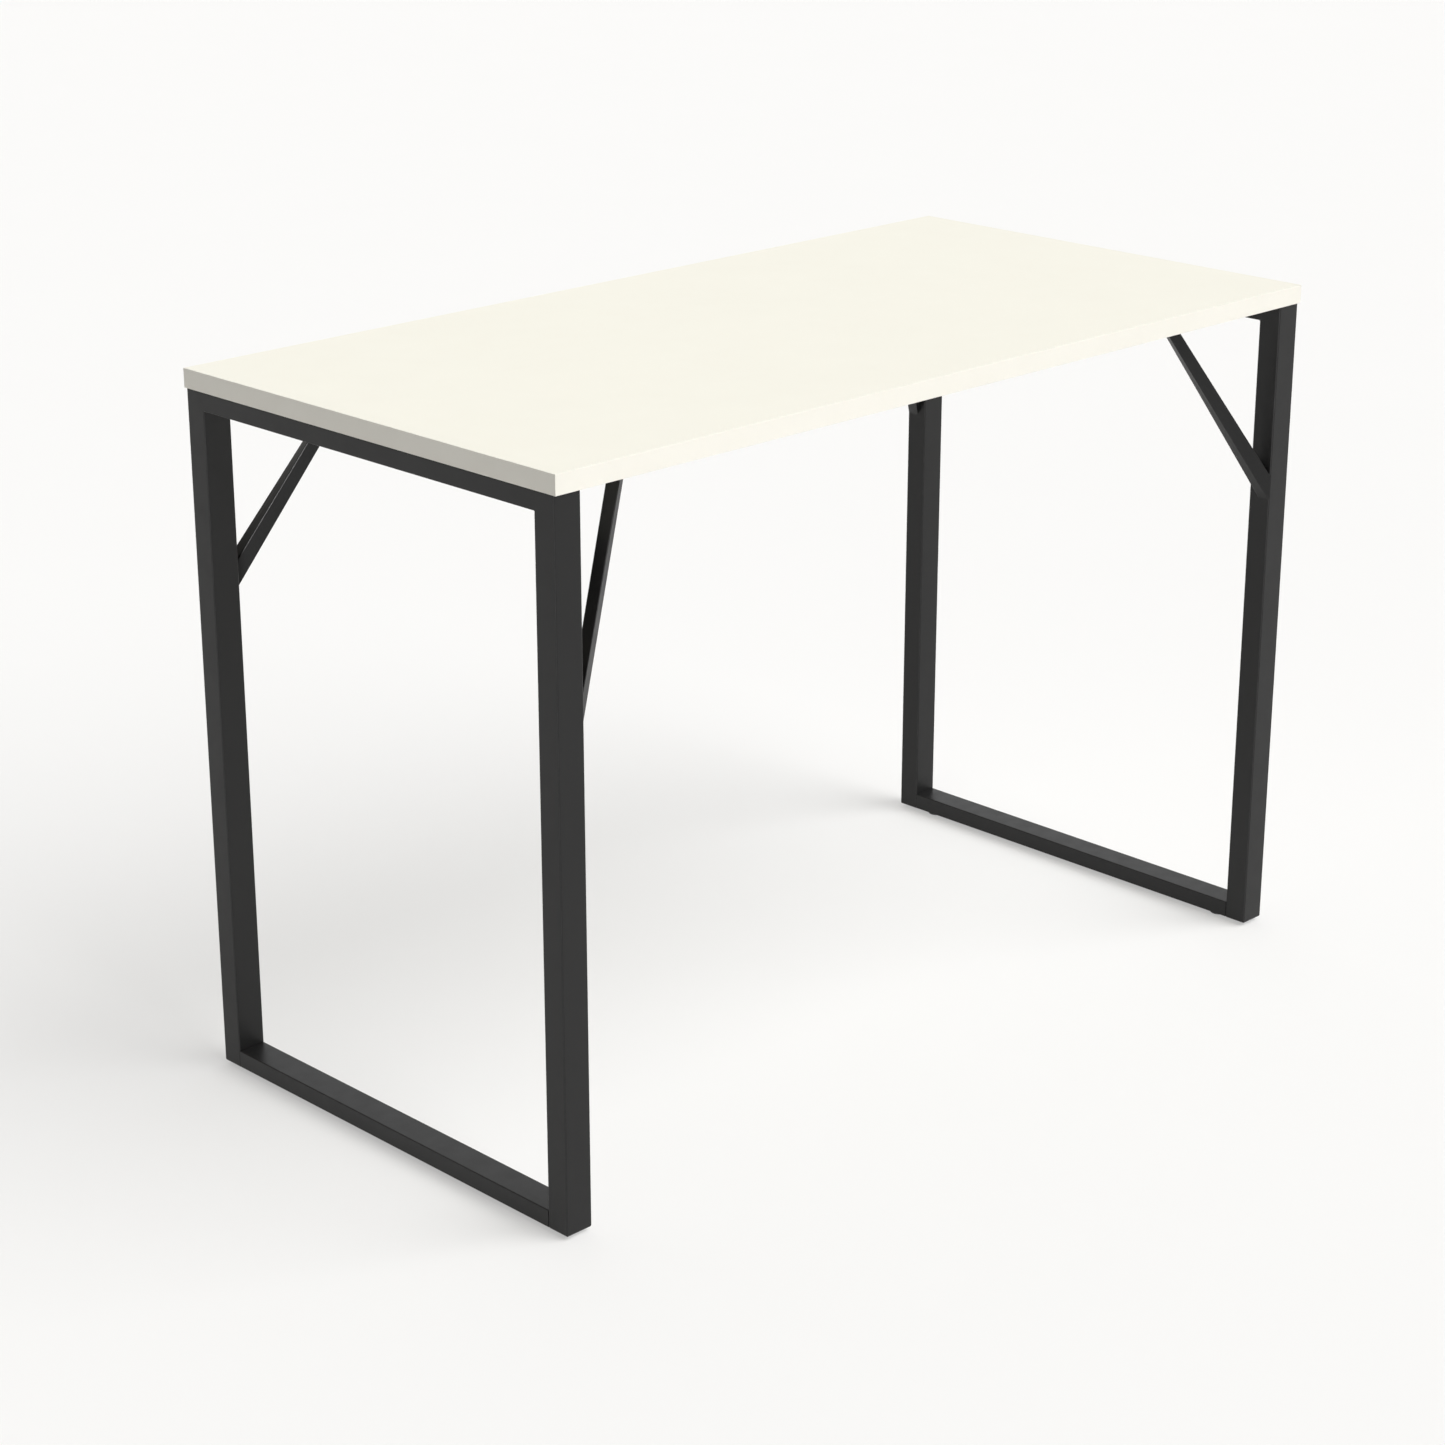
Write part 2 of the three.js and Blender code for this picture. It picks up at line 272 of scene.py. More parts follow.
def cut(piece, shell):
    """Takes a closed shell out of a piece that has no modifiers yet."""
    points, faces, _ = shell
    cutter = add_object("cutter", closed_mesh("cutter", points, faces))
    modifier = piece.modifiers.new("cut", "BOOLEAN")
    modifier.operation = "DIFFERENCE"
    modifier.solver = "EXACT"
    modifier.object = cutter
    evaluated = piece.evaluated_get(bpy.context.evaluated_depsgraph_get())
    result = bpy.data.meshes.new_from_object(evaluated)
    piece.modifiers.remove(modifier)
    piece.data = result
    bpy.data.objects.remove(cutter)


# ---- Materials ----

class Finish:
    """A Principled material and short ways to add procedural detail to it."""

    def __init__(self, name, **constants):
        self.material = bpy.data.materials.new(name)
        self.material.use_nodes = True
        self.tree = self.material.node_tree
        self.shader = self.tree.nodes["Principled BSDF"]
        for socket, value in constants.items():
            self.shader.inputs[socket.replace("_", " ")].default_value = value
        self.place = self.tree.nodes.new("ShaderNodeTexCoord").outputs["Object"]

    def node(self, kind, inputs, output=0, **settings):
        node = self.tree.nodes.new(kind)
        for key, value in settings.items():
            setattr(node, key, value)
        for key, value in inputs.items():
            if isinstance(value, bpy.types.NodeSocket):
                self.tree.links.new(value, node.inputs[key])
            else:
                node.inputs[key].default_value = value
        return node.outputs[output]

    def stretched(self, x, y, z):
        return self.node("ShaderNodeMapping", {"Vector": self.place, "Scale": (x, y, z)})

    def noise(self, scale, detail=2.0, place=None):
        inputs = {"Vector": place or self.place, "Scale": scale, "Detail": detail}
        return self.node("ShaderNodeTexNoise", inputs)

    def ranged(self, value, low, high, from_low=0.0, from_high=1.0):
        inputs = {
            "Value": value, "From Min": from_low, "From Max": from_high,
            "To Min": low, "To Max": high,
        }
        return self.node("ShaderNodeMapRange", inputs)

    def maths(self, operation, a, b):
        return self.node("ShaderNodeMath", {0: a, 1: b}, operation=operation)

    def mixed(self, factor, first, second):
        """A mix of two colours, each an (r, g, b) or a socket."""
        inputs = {0: factor}
        for socket, colour in ((6, first), (7, second)):
            inputs[socket] = (*colour, 1.0) if isinstance(colour, tuple) else colour
        return self.node("ShaderNodeMix", inputs, output=2, data_type="RGBA")

    def bump(self, height, distance, normal=None):
        inputs = {"Height": height, "Distance": distance}
        if normal:
            inputs["Normal"] = normal
        return self.node("ShaderNodeBump", inputs)

    def set(self, **sockets):
        for socket, value in sockets.items():
            self.tree.links.new(value, self.shader.inputs[socket.replace("_", " ")])
        return self.material


def powder_coat():
    """Satin black powder coat: fine orange peel, and slightly polished, thinner edges."""
    finish = Finish("powder_coat", Specular_IOR_Level=0.31)
    edge = finish.node("ShaderNodeAttribute", {}, output=2, attribute_name="edge")
    patches = finish.noise(120, 3)
    worn = finish.maths("MULTIPLY", edge, finish.ranged(patches, 0.15, 1.0, 0.35, 0.65))
    cloud = finish.mixed(finish.noise(9, 4), (0.0062, 0.0062, 0.0064), (0.0086, 0.0086, 0.0087))
    colour = finish.mixed(worn, cloud, (0.015, 0.015, 0.0152))
    satin = finish.ranged(finish.noise(45, 4), 0.36, 0.44, 0.3, 0.7)
    rough = finish.maths("SUBTRACT", satin, finish.maths("MULTIPLY", worn, 0.07))
    peel = finish.bump(finish.noise(620, 2), 0.018 * MM)
    grain = finish.bump(finish.noise(2600, 2), 0.006 * MM, normal=peel)
    return finish.set(Base_Color=colour, Roughness=rough, Normal=grain)


def ivory_laminate():
    """Ivory melamine face with a fine matt pearl grain."""
    finish = Finish("ivory_laminate", Specular_IOR_Level=0.25)
    cloud = finish.ranged(finish.noise(14, 5), 0, 1, 0.3, 0.7)
    colour = finish.mixed(cloud, (0.800, 0.786, 0.703), (0.808, 0.795, 0.712))
    rough = finish.ranged(finish.noise(38, 4), 0.54, 0.62, 0.3, 0.7)
    pearl = finish.bump(finish.noise(1700, 3), 0.007 * MM)
    return finish.set(Base_Color=colour, Roughness=rough, Normal=pearl)


def ivory_banding(along):
    """Ivory edge band with the faint drawing lines of its extrusion along its length."""
    finish = Finish(f"ivory_banding_{along}", Specular_IOR_Level=0.4)
    scale = {"x": (0.02, 1, 1), "y": (1, 0.02, 1)}[along]
    lines = finish.noise(2400, 2, place=finish.stretched(*scale))
    cloud = finish.ranged(finish.noise(22, 3), 0, 1, 0.3, 0.7)
    colour = finish.mixed(cloud, (0.813, 0.795, 0.727), (0.828, 0.810, 0.743))
    rough = finish.ranged(lines, 0.40, 0.50, 0.3, 0.7)
    drawn = finish.bump(lines, 0.006 * MM)
    return finish.set(Base_Color=colour, Roughness=rough, Normal=drawn)


def moulded_plastic():
    """Black moulded plastic with a spark-eroded grain."""
    finish = Finish("moulded_plastic", Specular_IOR_Level=0.4)
    colour = finish.mixed(finish.noise(160, 3), (0.012, 0.012, 0.0125), (0.018, 0.018, 0.0185))
    rough = finish.ranged(finish.noise(420, 3), 0.48, 0.62, 0.3, 0.7)
    grain = finish.bump(finish.noise(3800, 2), 0.02 * MM)
    return finish.set(Base_Color=colour, Roughness=rough, Normal=grain)


def zinc_plate():
    """Bright zinc plating with faint bluish and yellowish passivation."""
    finish = Finish("zinc_plate", Metallic=1.0)
    bluish = finish.mixed(finish.noise(260, 3), (0.50, 0.53, 0.57), (0.62, 0.62, 0.60))
    yellowed = finish.ranged(finish.noise(90, 2), 0, 0.5, 0.5, 0.75)
    colour = finish.mixed(yellowed, bluish, (0.60, 0.56, 0.46))
    rough = finish.ranged(finish.noise(700, 4), 0.24, 0.42, 0.3, 0.7)
    marks = finish.bump(finish.noise(2200, 3), 0.008 * MM)
    return finish.set(Base_Color=colour, Roughness=rough, Normal=marks)


STEEL = powder_coat()
LAMINATE = ivory_laminate()
BANDING = {along: ivory_banding(along) for along in "xy"}
PLASTIC = moulded_plastic()
ZINC = zinc_plate()


# ---- Board ----

def add_board():
    low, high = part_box("desktop_panel")
    width = -2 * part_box("edge_band_left")[1].x
    depth = -2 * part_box("edge_band_front")[1].y
    loops = []
    for inset, z in (
        (JOINT_CHAMFER, low.z), (0, low.z + JOINT_CHAMFER),
        (0, high.z - JOINT_CHAMFER), (JOINT_CHAMFER, high.z),
    ):
        plan = ring(width - 2 * inset, depth - 2 * inset, PANEL_CORNER, steps=1)
        loops.append([Vector((u, v, z)) for u, v, _ in plan])
    make_piece("board", [skin(loops)], LAMINATE, ["desktop_panel"], sharp=80)


def band_section(thickness, height):
    """A band's section as (depth, z): its outer edges are rounded, its inner ones chamfered."""
    radius = min(EDGE_ROUND, thickness - JOINT_CHAMFER)
    half = height / 2
    upper = [
        (thickness - radius + radius * math.cos(angle), half - radius + radius * math.sin(angle))
        for angle in arc(CORNER_STEPS)
    ]
    upper += [(JOINT_CHAMFER / 2, half), (0, half - JOINT_CHAMFER)]
    lower = [(depth, -z) for depth, z in reversed(upper)]
    return lower + upper


def add_band(name, along, thickness, path, place):
    """An edge band through stations of (place along it, recess of its outer face)."""
    low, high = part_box(f"edge_band_{name}")
    middle, height = (low.z + high.z) / 2, high.z - low.z
    loops = [
        [place(station, depth, middle + z) for depth, z in band_section(thickness - recess, height)]
        for station, recess in path
    ]
    make_piece(f"band_{name}", [skin(loops)], BANDING[along], [f"edge_band_{name}"])


def add_bands():
    """The front and rear bands cover the ends of the side bands, and their own ends are rounded."""
    end_x, panel_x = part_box("edge_band_right")[1].x, -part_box("edge_band_left")[1].x
    edge_y, panel_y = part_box("edge_band_rear")[1].y, -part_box("edge_band_front")[1].y
    rounding = [
        (EDGE_ROUND * (1 - math.cos(angle)), EDGE_ROUND * (1 - math.sin(angle)))
        for angle in arc(CORNER_STEPS)
    ]
    path = [(along - end_x, recess) for along, recess in rounding]
    path += [(end_x - along, recess) for along, recess in reversed(rounding)]
    for end, sign in ENDS:
        add_band(
            end, "x", edge_y - panel_y, path,
            lambda x, depth, z: Vector((x, sign * (panel_y + depth), z)))
    for side, sign in SIDES:
        add_band(
            side, "y", end_x - panel_x, [(-panel_y, 0), (panel_y, 0)],
            lambda y, depth, z: Vector((sign * (panel_x + depth), y, z)))


# ---- End frames ----

def tube(width, height, corner, stations, place):
    """An open-ended tube's shell through stations of (inset of the outer face, place along it)."""
    loops, weights = [], []
    for inset, along in stations:
        section = inset_ring(width, height, corner, inset)
        loops.append([place(u, v, along) for u, v, _ in section])
        weights += [1.0 if inset > 0 else edge for _, _, edge in section]
    for along in (stations[-1][1], stations[0][1]):
        section = inset_ring(width, height, corner, TUBE_WALL)
        loops.append([place(u, v, along) for u, v, _ in section])
        weights += [0.0] * len(section)
    return skin(loops, endless=True, weights=weights)


def rounded_foot(height, inset, rise):
    """Stations of (inset, height) that round off a lower end."""
    return [
        (inset * (1 - math.sin(angle)), height + rise * (1 - math.cos(angle)))
        for angle in arc(CORNER_STEPS)
    ]


def rounded_top(height):
    """Stations of (inset, height) that round an upper edge as the rails' own edges are rounded."""
    return [
        (RAIL_CORNER * (1 - math.cos(angle)), height - RAIL_CORNER * (1 - math.sin(angle)))
        for angle in arc(CORNER_STEPS)
    ]


def add_leg(end, side):
    low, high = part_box(f"leg_{end}_{side}")
    middle = (low + high) / 2

    def place(u, v, z):
        return Vector((middle.x + u, middle.y + v, z))

    stations = rounded_foot(low.z, LEG_END_INSET, LEG_END_ROUND) + rounded_top(UNDERSIDE)
    shell = tube(high.x - low.x, high.y - low.y, LEG_CORNER, stations, place)
    make_piece(
        f"leg_tube_{end}_{side}", [shell], STEEL,
        [f"leg_{end}_{side}"], sharp=50)


def add_rail(name, side, holes):
    """A rail between two legs: a top one is ground flush with them and lies against the board."""
    low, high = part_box(name)
    reach = -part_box(f"leg_front_{side}")[1].y
    stations = [(0, -reach), (0, reach)]
    if name.startswith("top"):
        high.z = UNDERSIDE
    else:
        eased = reach - RAIL_END_CHAMFER
        stations = [(RAIL_END_CHAMFER, -reach), (0, -eased), (0, eased), (RAIL_END_CHAMFER, reach)]
    middle = (low + high) / 2

    def place(u, v, y):
        return Vector((middle.x + u, y, middle.z + v))

    shell = tube(high.x - low.x, high.z - low.z, RAIL_CORNER, stations, place)
    make_piece(
        f"{name}_tube", [shell], STEEL, [name], sharp=50, holes=holes)


def corner_fill(corner_x, corner_y, sign_x, sign_y, low, high):
    """Weld metal that fills the groove between a leg's rounded edge and a rail's end, ground flush.

    The corner is where the frame's flat side meets the leg's inner face. sign_x points out of
    the side, and sign_y from the rail into the leg. Its two ends follow the rail's own corners.
    """
    loops = []
    for recess, z in rounded_foot(low, RAIL_CORNER, RAIL_CORNER) + rounded_top(high):
        points = [(recess, 0.0)]
        start = math.acos(1 - recess / LEG_CORNER)
        for angle in arc(CORNER_STEPS, start):
            points.append((LEG_CORNER * (1 - math.cos(angle)), LEG_CORNER * (1 - math.sin(angle))))
        loops.append([
            Vector((corner_x - sign_x * depth, corner_y + sign_y * along, z))
            for depth, along in points
        ])
    return skin(loops)


def corner_bead(x_low, x_high, corner_y, sign_y, z):
    """A smooth concave bead under a rail, in its corner with the leg."""
    stations = [(x_low + WELD_TAPER_LENGTH * share, size) for share, size in WELD_TAPER]
    stations += [(x_high - WELD_TAPER_LENGTH * share, size) for share, size in reversed(WELD_TAPER)]
    loops = []
    for x, size in stations:
        leg = CORNER_WELD * size
        points = [(0.0, 0.0)]
        for angle in arc(CORNER_STEPS):
            points.append((leg * (1 - math.sin(angle)), leg * (1 - math.cos(angle))))
        loops.append([Vector((x, corner_y - sign_y * out, z - drop)) for out, drop in points])
    return skin(loops)


def add_top_welds(end, side, sign_y):
    """The welds of a top rail to a leg: flush on both sides, and a bead in the corner."""
    leg_low, leg_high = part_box(f"leg_{end}_{side}")
    rail_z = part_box(f"top_rail_{side}")[0].z
    corner_y = leg_high.y if sign_y < 0 else leg_low.y
    shells = [
        corner_fill(x, corner_y, sign_x, sign_y, rail_z, UNDERSIDE)
        for x, sign_x in ((leg_low.x, -1), (leg_high.x, 1))
    ]
    x_low, x_high = leg_low.x + CORNER_WELD_INSET, leg_high.x - CORNER_WELD_INSET
    shells.append(corner_bead(x_low, x_high, corner_y, sign_y, rail_z))
    make_piece(f"top_weld_{end}_{side}", shells, STEEL, sharp=50)


def add_leg_cap(end, side):
    """A shallow plastic cup in the leg's open lower end."""
    name = f"leg_cap_{end}_{side}"
    low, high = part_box(name)
    middle, size = (low + high) / 2, high - low
    stations = [
        (CAP_ROUND * (1 - math.sin(angle)), low.z + CAP_ROUND * (1 - math.cos(angle)))
        for angle in arc(CAP_STEPS)
    ]
    stations += [(0, high.z), (CAP_WALL, high.z), (CAP_WALL, low.z + CAP_WALL)]
    loops = [
        [
            Vector((middle.x + u, middle.y + v, z))
            for u, v, _ in inset_ring(size.x, size.y, CAP_CORNER, inset)
        ]
        for inset, z in stations
    ]
    make_piece(f"{name}_moulding", [skin(loops)], PLASTIC, [name])


# ---- Braces ----

class Brace:
    """A brace's loft: straight lines from its outline by the leg to its outline under the top."""

    def __init__(self, end, side, sign_x, sign_y):
        leg_low, leg_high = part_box(f"leg_{end}_{side}")
        end_x, edge_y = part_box("edge_band_front")[1].x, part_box("edge_band_rear")[1].y
        self.sign_x, self.sign_y = sign_x, sign_y
        self.face_x = leg_high.x if sign_x < 0 else leg_low.x
        self.outer_y = max(abs(leg_low.y), abs(leg_high.y))
        self.foot_middle = self.outer_y - FOOT_INSET - FOOT_WIDTH / 2
        head_x, head_y = sign_x * (end_x - HEAD_FROM_END), sign_y * (edge_y - HEAD_FROM_EDGE)
        self.head = Vector((head_x, head_y, UNDERSIDE))
        self.along = Vector((-sign_x * math.sin(HEAD_TURN), -sign_y * math.cos(HEAD_TURN), 0))
        self.across = Vector((-self.along.y, self.along.x, 0))

    def lines(self, inset=0.0):
        """The loft's lines as (foot, head, edge)."""
        foot_x, foot_z = self.face_x - self.sign_x * FOOT_GAP, FOOT_BOTTOM + FOOT_HEIGHT / 2
        foot_ring = inset_ring(FOOT_WIDTH, FOOT_HEIGHT, BRACE_CORNER, inset)
        head_ring = inset_ring(HEAD_WIDTH, HEAD_LENGTH, BRACE_CORNER, inset)
        mirrored = self.sign_x * self.sign_y
        lines = []
        for (fu, fv, edge), (hu, hv, _) in zip(foot_ring, head_ring):
            foot = Vector((foot_x, self.sign_y * (self.foot_middle - fu), foot_z + fv))
            head = self.head - self.along * hv + self.across * (hu * mirrored)
            lines.append((foot, head, edge))
        return lines

    def at_x(self, x, inset=0.0):
        """The outline where the lines, drawn on if need be, meet an upright plane across X."""
        return [
            foot.lerp(head, (x - foot.x) / (head.x - foot.x)) for foot, head, _ in self.lines(inset)
        ]

    def at_z(self, z, inset=0.0):
        """The outline where the lines meet a level plane."""
        return [
            foot.lerp(head, (z - foot.z) / (head.z - foot.z)) for foot, head, _ in self.lines(inset)
        ]


def add_brace(brace, end, side):
    """The brace's tube, let a little into the leg's wall, and its two weld beads."""
    plate_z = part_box(f"brace_plate_{end}_{side}")[0].z
    buried_x = brace.face_x + brace.sign_x * FOOT_BURIED
    starts, stops = brace.at_x(buried_x), brace.at_z(plate_z)
    loops = [
        [start.lerp(stop, station / BRACE_STATIONS) for start, stop in zip(starts, stops)]
        for station in range(BRACE_STATIONS + 1)
    ]
    loops += [brace.at_z(plate_z, BRACE_WALL), brace.at_x(buried_x, BRACE_WALL)]
    edges = [edge for _, _, edge in brace.lines()]
    weights = edges * (BRACE_STATIONS + 1) + [0.0] * len(edges) * 2
    make_piece(
        f"brace_tube_{end}_{side}", [skin(loops, endless=True, weights=weights)], STEEL,
        [f"brace_{end}_{side}"], sharp=50)
    make_piece(
        f"brace_weld_{end}_{side}", [foot_bead(brace), head_bead(brace, plate_z)], STEEL,
        sharp=60)


def resampled(points):
    """Evenly spaced points round a closed outline, one for each point of a bead."""
    closed = points + [points[0]]
    lengths = [0.0]
    for a, b in zip(closed, closed[1:]):
        lengths.append(lengths[-1] + (b - a).length)
    result, index = [], 0
    for i in range(BEAD_POINTS):
        target = lengths[-1] * i / BEAD_POINTS
        while lengths[index + 1] < target:
            index += 1
        share = (target - lengths[index]) / (lengths[index + 1] - lengths[index])
        result.append(closed[index].lerp(closed[index + 1], share))
    return result


def outward_of(points, normal):
    """Unit vectors out of a closed outline, in its plane."""
    centre = sum(points, Vector()) / len(points)
    result = []
    for i, point in enumerate(points):
        tangent = points[(i + 1) % len(points)] - points[i - 1]
        out = tangent.cross(normal).normalized()
        result.append(out if out.dot(point - centre) > 0 else -out)
    return result


def bead(base, risen, normal, size):
    """A concave weld bead between a surface and the body that rises from it, slightly rippled.

    base is the body's outline on the surface, risen is its outline at the bead's height, and
    normal is the surface's.
    """
    base, risen = resampled(base), resampled(risen)
    outward = outward_of(base, normal)
    loops = []
    for angle in arc(BEAD_STEPS):
        loop = []
        for i, (low, high) in enumerate(zip(base, risen)):
            ripple = 1 + sum(share * math.sin(2 * math.pi * i / wave) for share, wave in BEAD_RIPPLES)
            side = outward[i] * (size * ripple * (1 - math.sin(angle)))
            lift = (high - low) * (ripple * (1 - math.cos(angle)))
            loop.append(low + side + lift)
        loops.append(loop)
    loops.append(base)
    return skin(loops, endless=True)


def foot_bead(brace):
    """The bead on the leg. Its toe follows the leg's rounded edge."""
    base = brace.at_x(brace.face_x)
    risen = brace.at_x(brace.face_x - brace.sign_x * FOOT_WELD)
    points, faces, weights = bead(base, risen, Vector((1, 0, 0)), FOOT_WELD)
    for point in points:
        past = min(max(0.0, abs(point.y) - (brace.outer_y - LEG_CORNER)), LEG_CORNER)
        recess = LEG_CORNER - math.sqrt(LEG_CORNER ** 2 - past ** 2)
        share = 1 - min(1.0, abs(point.x - brace.face_x) / FOOT_WELD)
        point.x += brace.sign_x * recess * share
    return points, faces, weights


def head_bead(brace, plate_z):
    """The bead under the plate."""
    return bead(brace.at_z(plate_z), brace.at_z(plate_z - HEAD_WELD), Vector((0, 0, 1)), HEAD_WELD)


# ---- Plates and screws ----

def add_plate(brace, end, side):
    """The plate on a brace's head, with a hole for each of its two screws."""
    name = f"brace_plate_{end}_{side}"
    low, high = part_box(name)
    halfway = 0.3 * PLATE_ROUND
    loops = []
    for inset, z in (
        (PLATE_ROUND, low.z), (halfway, low.z + halfway), (0, low.z + PLATE_ROUND), (0, high.z),
    ):
        middle = Vector((brace.head.x, brace.head.y, z))
        outline = inset_ring(PLATE_LENGTH, PLATE_WIDTH, PLATE_CORNER, inset)
        loops.append([middle + brace.across * u + brace.along * v for u, v, _ in outline])
    holes = [
        rod(screw, PLATE_HOLE_RADIUS, low.z - MM, high.z + MM) for screw in plate_screws(end, side)
    ]
    make_piece(
        f"{name}_steel", [skin(loops)], STEEL, [name], sharp=50, holes=holes)


def plate_screws(end, side):
    return [f"plate_screw_{end}_{side}_{index}" for index in (1, 2)]


def rod(node, radius, low, high):
    """A plain upright cutter on the axis of a CAD node."""
    return turned([(radius, low), (radius, high)], axis_of(node), HOLE_STEPS)


def add_screws(names, kind, held_z):
    """Puts a screw at each CAD one, point up, each with its recess turned differently.

    held_z is the height of the face that the heads bear on.
    """
    for index, name in enumerate(names):
        low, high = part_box(name)
        seat = low.z + kind.head_height
        head = (high.x - low.x) / 2
        profile = [(AXIS_FLAT, -kind.head_height)]
        for angle in arc(*PAN_ARC):
            profile.append((
                head * math.sin(angle) ** PAN_SIDE,
                -kind.head_height * math.cos(angle) ** PAN_CROWN))
        profile += [
            (head, -SCREW_RIM), (head - SCREW_BEARING_INSET, held_z - seat),
            (kind.shank_radius, held_z - seat), (kind.shank_radius, high.z - seat - SCREW_TIP_LENGTH),
            (SCREW_TIP_RADIUS, high.z - seat),
        ]
        piece = make_piece(
            f"{name}_zinc", [turned(profile, Vector(), SCREW_STEPS)], ZINC, [name],
            holes=[cross_recess(head, kind.head_height)])
        piece.location = axis_of(name) + Vector((0, 0, seat))
        piece.rotation_euler.z = SCREW_FIRST_TURN + SCREW_NEXT_TURN * index


def cross_recess(head, head_height):
    """A tapered cross, to be cut up into a screw's head from below it."""
    loops = []
    for z, (reach, slot) in (
        (-head_height - RECESS_CLEARANCE, RECESS_MOUTH),
        (-head_height * RECESS_FLOOR_HEIGHT, RECESS_FLOOR),
    ):
        outline = [
            (reach, -slot), (reach, slot), (slot, slot),
            (slot, reach), (-slot, reach), (-slot, slot),
            (-reach, slot), (-reach, -slot), (-slot, -slot),
            (-slot, -reach), (slot, -reach), (slot, -slot),
        ]
        loops.append([Vector((x * head, y * head, z)) for x, y in outline])
    return skin(loops)


# ---- Levelling glides ----

def add_insert(end, side):
    """The threaded insert in the bottom rail, with its flange against the rail."""
    name = f"threaded_insert_{end}_{side}"
    low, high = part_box(name)
    rail_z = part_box(f"bottom_rail_{side}")[0].z
    flange = (high.x - low.x) / 2
    profile = [
        (INSERT_BORE_RADIUS + INSERT_LEAD_IN, low.z), (flange - INSERT_ROUND, low.z),
        (flange, low.z + INSERT_ROUND), (flange, rail_z), (INSERT_BODY_RADIUS, rail_z),
        (INSERT_BODY_RADIUS, high.z), (INSERT_BORE_RADIUS, high.z),
        (INSERT_BORE_RADIUS, low.z + INSERT_LEAD_IN),
    ]
    shell = turned(profile, axis_of(name), INSERT_STEPS, endless=True)
    make_piece(f"{name}_zinc", [shell], ZINC, [name])


def add_glide_foot(end, side):
    """The glide's plastic foot: round edges, a slightly hollow sole, and a socket for the stud."""
    name = f"glide_foot_{end}_{side}"
    low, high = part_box(name)
    radius, height = (high.x - low.x) / 2, high.z - low.z
    socket_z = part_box(f"glide_stud_{end}_{side}")[0].z
    profile = [
        (AXIS_FLAT, SOLE_HOLLOW), (radius * SOLE_HOLLOW_SHARE, SOLE_HOLLOW),
        (radius * SOLE_FLAT_SHARE, 0.0),
    ]
    for angle in arc(GLIDE_ROUND_STEPS):
        profile.append((
            radius - GLIDE_ROUND * (1 - math.sin(angle)), GLIDE_ROUND * (1 - math.cos(angle))))
    for angle in arc(GLIDE_ROUND_STEPS):
        profile.append((
            radius - GLIDE_ROUND * (1 - math.cos(angle)),
            height - GLIDE_ROUND * (1 - math.sin(angle))))
    profile += [(GLIDE_SOCKET_RADIUS, height), (GLIDE_SOCKET_RADIUS, socket_z), (AXIS_FLAT, socket_z)]
    make_piece(
        f"{name}_moulding", [turned(profile, axis_of(name), GLIDE_STEPS)], PLASTIC,
        [name], body=f"leveller_{end}_{side}")


def add_glide_stud(end, side):
    """The glide's stud, with a helical thread and a tapered tip."""
    name = f"glide_stud_{end}_{side}"
    low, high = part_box(name)
    axis, major = axis_of(name), (high.x - low.x) / 2
    loops = []
    for row in range(round((high.z - low.z) / THREAD_PITCH * THREAD_ROWS) + 1):
        z = low.z + row * THREAD_PITCH / THREAD_ROWS
        taper = min(1.0, (high.z - z) / STUD_TIP_LENGTH)
        crest = major - STUD_TIP_INSET * (1 - taper)
        loop = []
        for i in range(THREAD_STEPS):
            phase = (z / THREAD_PITCH - i / THREAD_STEPS) % 1.0
            ridge = min(1.0, (0.5 - abs(phase - 0.5)) / (0.5 - THREAD_CREST))
            radius = min(crest, major - THREAD_DEPTH * (1 - ridge))
            angle = 2 * math.pi * i / THREAD_STEPS
            loop.append(axis + Vector((radius * math.cos(angle), radius * math.sin(angle), z)))
        loops.append(loop)
    make_piece(
        f"{name}_threaded", [skin(loops)], ZINC, [name],
        body=f"leveller_{end}_{side}", sharp=70)


# ---- Studio ----

def direction(azimuth, elevation):
    """A unit vector to a place at these angles in degrees; azimuth 0 is the user's side."""
    azimuth, elevation = math.radians(azimuth), math.radians(elevation)
    return Vector((
        math.sin(azimuth) * math.cos(elevation), -math.cos(azimuth) * math.cos(elevation),
        math.sin(elevation),
    ))


def look_against(thing, towards):
    """Turns a light or a camera to look the opposite way to a direction."""
    thing.rotation_mode = "QUATERNION"
    thing.rotation_quaternion = towards.to_track_quat("Z", "Y")


def add_sun(name, power, spread, towards):
    """A far light that fills a disc of the sky, spread degrees across."""
    light = bpy.data.lights.new(name, "SUN")
    light.energy = power
    light.angle = math.radians(spread)
    sun = add_object(name, light)
    look_against(sun, towards)
    return sun


def add_floor():
    """A pale floor that glows a little itself, like a light table."""
    mesh = bpy.data.meshes.new("floor")
    rim = circle(FLOOR_RADIUS, 0.0, FLOOR_STEPS)
    mesh.from_pydata(rim, [], [tuple(range(FLOOR_STEPS))])
    floor = add_object("floor", mesh)
    finish = Finish(
        "floor_light_table", Specular_IOR_Level=0.1, Roughness=0.9,
        Emission_Color=(1.0, 0.997, 0.99, 1), Emission_Strength=FLOOR_GLOW)
    colour = finish.mixed(finish.noise(3, 3), (0.447, 0.446, 0.443), (0.453, 0.452, 0.449))
    floor.data.materials.append(finish.set(Base_Color=colour))


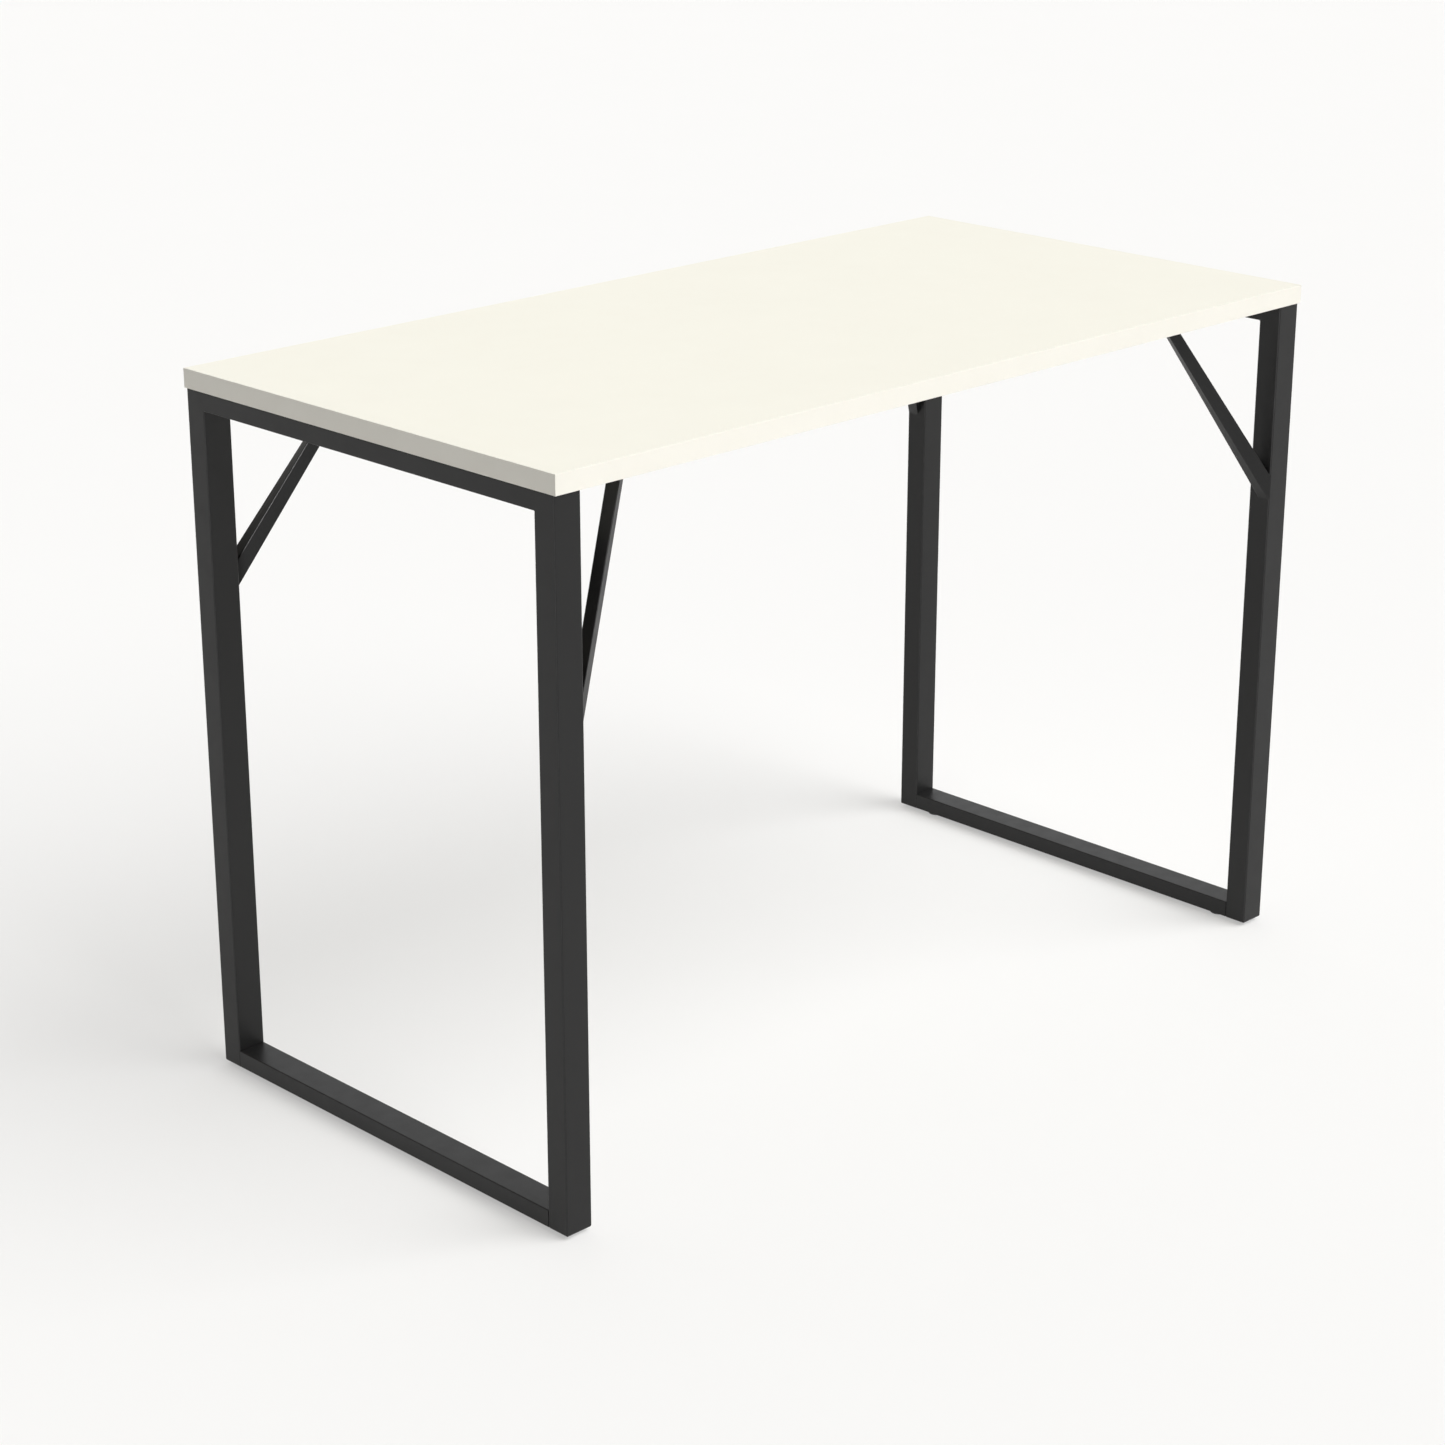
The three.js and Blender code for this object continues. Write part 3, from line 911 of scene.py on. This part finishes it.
def add_backdrop():
    """A white dome over the floor, which only the camera sees."""
    rows = [
        circle(FLOOR_RADIUS * math.cos(angle), FLOOR_RADIUS * math.sin(angle), FLOOR_STEPS)
        for angle in arc(DOME_STEPS, 0, DOME_TOP)
    ]
    points, faces, _ = skin(rows)
    faces.remove(tuple(range(FLOOR_STEPS))[::-1])
    mesh = bpy.data.meshes.new("backdrop")
    mesh.from_pydata([tuple(point) for point in points], [], faces)
    dome = add_object("backdrop", mesh)
    paper = Finish(
        "backdrop_paper", Base_Color=(0, 0, 0, 1), Specular_IOR_Level=0,
        Emission_Color=(1, 1, 1, 1), Emission_Strength=BACKDROP_GLOW)
    dome.data.materials.append(paper.material)
    dome.visible_diffuse = dome.visible_glossy = False
    dome.visible_shadow = dome.visible_transmission = False


def add_sky():
    """A soft room: bright and cool on one side, dim and warm on the other."""
    world = bpy.data.worlds.new("soft_box_room")
    world.use_nodes = True
    bpy.context.scene.world = world
    nodes, links = world.node_tree.nodes, world.node_tree.links
    place = nodes.new("ShaderNodeTexCoord")
    facing = nodes.new("ShaderNodeVectorMath")
    facing.operation = "DOT_PRODUCT"
    facing.inputs[1].default_value = SKY_TOWARDS.normalized()
    level = nodes.new("ShaderNodeMapRange")
    level.interpolation_type = "SMOOTHSTEP"
    for socket, value in SKY_RANGE.items():
        level.inputs[socket].default_value = value
    tint = nodes.new("ShaderNodeMix")
    tint.data_type = "RGBA"
    tint.inputs[6].default_value = SKY_DIM
    tint.inputs[7].default_value = SKY_BRIGHT
    links.new(place.outputs["Generated"], facing.inputs[0])
    links.new(facing.outputs["Value"], level.inputs["Value"])
    links.new(level.outputs["Result"], tint.inputs[0])
    links.new(level.outputs["Result"], nodes["Background"].inputs["Strength"])
    links.new(tint.outputs[2], nodes["Background"].inputs["Color"])


def add_studio():
    """Floor, backdrop and lights. The rim light only adds highlights."""
    add_floor()
    add_backdrop()
    add_sun("key", KEY_POWER, KEY_SPREAD, direction(KEY_AZIMUTH, KEY_ELEVATION))
    rim = add_sun("rim", RIM_POWER, RIM_SPREAD, RIM_TOWARDS)
    rim.visible_diffuse = False
    add_sky()


def add_camera():
    camera = add_object("camera", bpy.data.cameras.new("camera"))
    camera.data.lens = CAMERA_LENS
    back = direction(CAMERA_AZIMUTH, CAMERA_ELEVATION)
    camera.location = CAMERA_TARGET + back * CAMERA_DISTANCE
    look_against(camera, back)
    bpy.context.scene.camera = camera
    bpy.context.scene.view_settings.view_transform = "Standard"


# ---- Assembly ----

def add_rails(side):
    """An end frame's two rails, drilled for their screws and inserts, and the screws."""
    top, bottom = f"top_rail_{side}", f"bottom_rail_{side}"
    top_low, top_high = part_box(top)
    bottom_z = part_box(bottom)[0].z
    screws = [f"rail_screw_{side}_{index}" for index in (1, 2, 3)]
    inserts = [f"threaded_insert_{end}_{side}" for end, _ in ENDS]
    add_rail(top, side, [
        rod(screw, RAIL_HOLE_RADIUS, top_low.z - MM, top_high.z + MM) for screw in screws])
    add_rail(bottom, side, [
        rod(insert, INSERT_HOLE_RADIUS, bottom_z - MM, bottom_z + INSERT_HOLE_HEIGHT)
        for insert in inserts])
    add_screws(screws, RAIL_SCREW, top_low.z)


def add_corner(end, side, sign_x, sign_y):
    """A leg, with its brace and the glide beside it."""
    add_leg(end, side)
    add_leg_cap(end, side)
    add_top_welds(end, side, sign_y)
    brace = Brace(end, side, sign_x, sign_y)
    add_brace(brace, end, side)
    add_plate(brace, end, side)
    add_screws(plate_screws(end, side), PLATE_SCREW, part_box(f"brace_plate_{end}_{side}")[0].z)
    add_insert(end, side)
    add_glide_foot(end, side)
    add_glide_stud(end, side)


add_camera()
add_studio()
add_board()
add_bands()
for side, sign_x in SIDES:
    add_rails(side)
    for end, sign_y in ENDS:
        add_corner(end, side, sign_x, sign_y)
